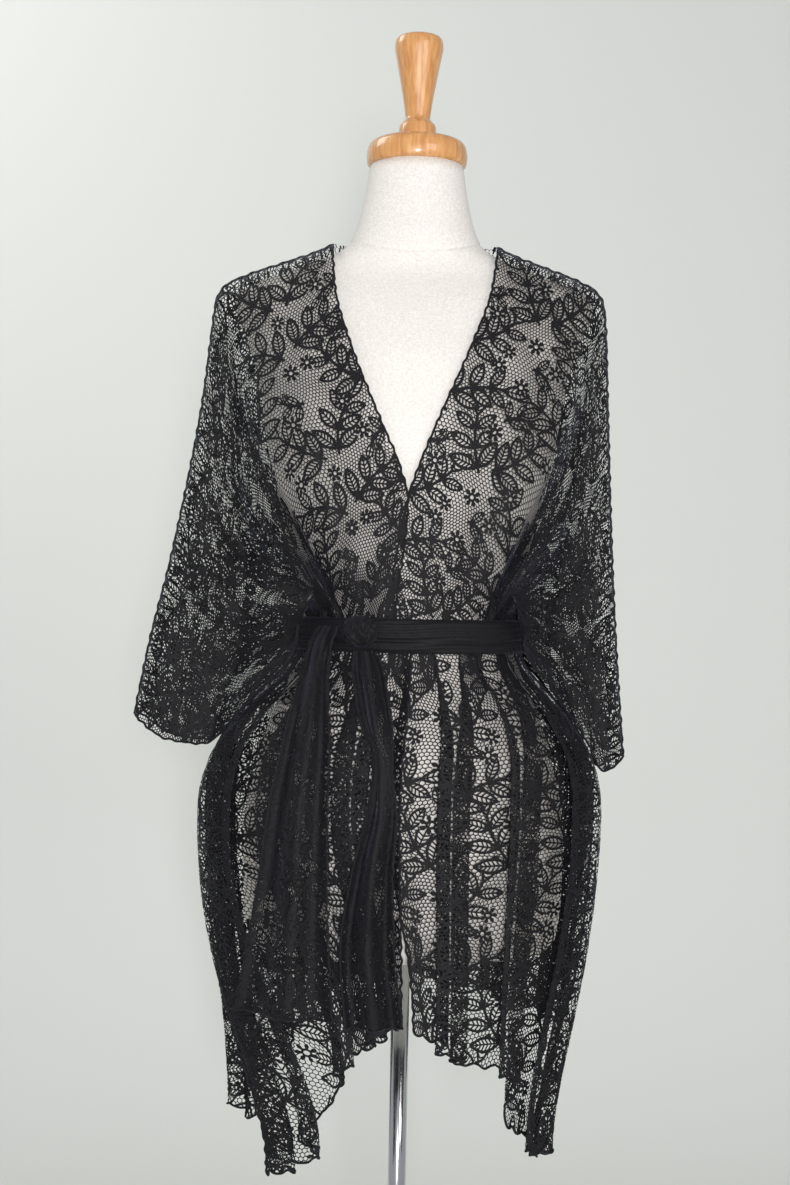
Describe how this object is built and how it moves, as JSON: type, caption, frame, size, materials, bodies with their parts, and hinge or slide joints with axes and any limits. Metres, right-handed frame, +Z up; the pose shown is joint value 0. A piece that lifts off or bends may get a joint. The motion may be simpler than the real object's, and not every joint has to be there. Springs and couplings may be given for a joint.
{
  "type": "lace shawl on a dress form",
  "caption": "Floral lace shawl with a front slit, gathered at the waist by a tied lace sash, draped on a limbless dress form with a turned neck cap, pole and round base.",
  "frame": {"origin": "centre of the underside of the base plate, on the floor under the pole", "axes": "+Z up, the open front of the shawl faces -Y, +X to the right of someone who looks at the front"},
  "size_m": [0.5144, 0.3284, 1.6],
  "materials": {
    "lace": "black floral lace, soft and slightly blue where light falls on it",
    "linen": "off-white woven linen cover",
    "wood": "turned light wood under clear lacquer",
    "chrome": "polished chrome"
  },
  "bodies": {
    "root": {"base_plate": "chrome", "pole": "chrome", "torso": "linen", "neck_cap": "wood", "finial": "wood", "shawl_front_right": "lace", "shawl_front_left": "lace", "shawl_back": "lace", "skirt_front_right": "lace", "skirt_front_left": "lace", "skirt_back": "lace", "sash_band": "lace", "sash_knot": "lace", "sash_tail_left": "lace", "sash_tail_right": "lace"}
  },
  "joints": []
}
